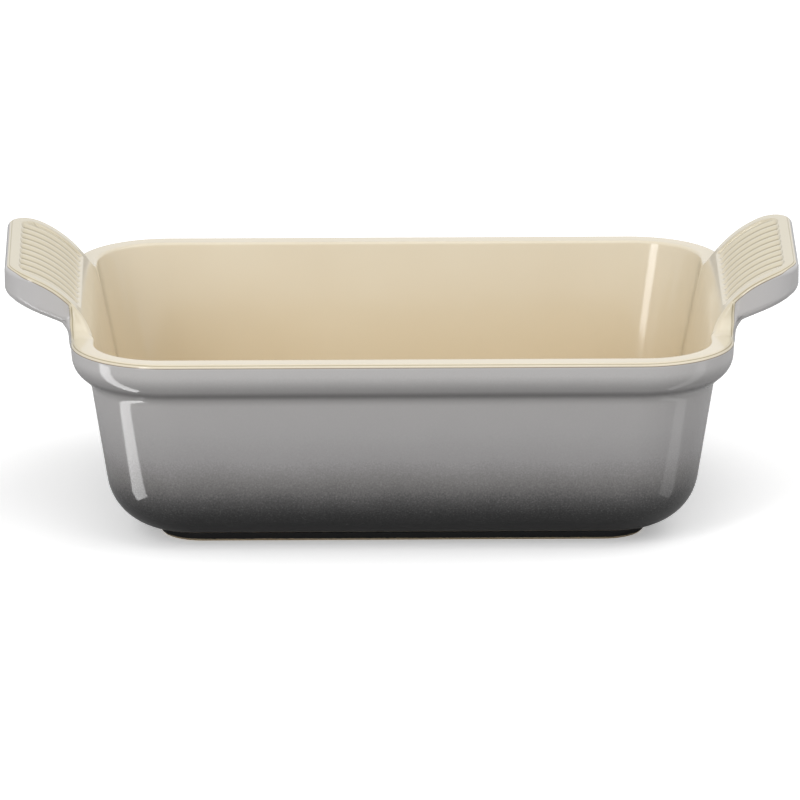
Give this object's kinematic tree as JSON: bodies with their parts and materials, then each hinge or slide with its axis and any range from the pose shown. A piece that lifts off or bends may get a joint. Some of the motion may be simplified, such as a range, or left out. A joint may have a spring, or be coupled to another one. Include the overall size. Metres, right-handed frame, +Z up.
{
  "type": "casserole dish",
  "caption": "Deep rectangular stoneware baking dish with a heavy rim, two arched reeded handles, a ground foot ring, cream inside glaze and grey outside glaze.",
  "frame": {"origin": "centre of the underside, level with the ground edge of the foot ring", "axes": "+X along the dish from handle to handle, +Y across it towards the back, +Z up"},
  "size_m": [0.321, 0.2, 0.108],
  "materials": {
    "clay": "unglazed stoneware under the glaze",
    "bare_foot": "matt ground stoneware",
    "cream_glaze": "glossy",
    "grey_glaze": "glossy, darker towards the foot",
    "dark_glaze": "glossy"
  },
  "bodies": {
    "root": {"basin": "clay", "rim_collar": "clay", "left_handle": "clay", "right_handle": "clay", "foot_ring": "bare_foot", "liner_glaze": "cream_glaze", "outer_glaze": "grey_glaze", "base_glaze": "dark_glaze"}
  },
  "joints": []
}
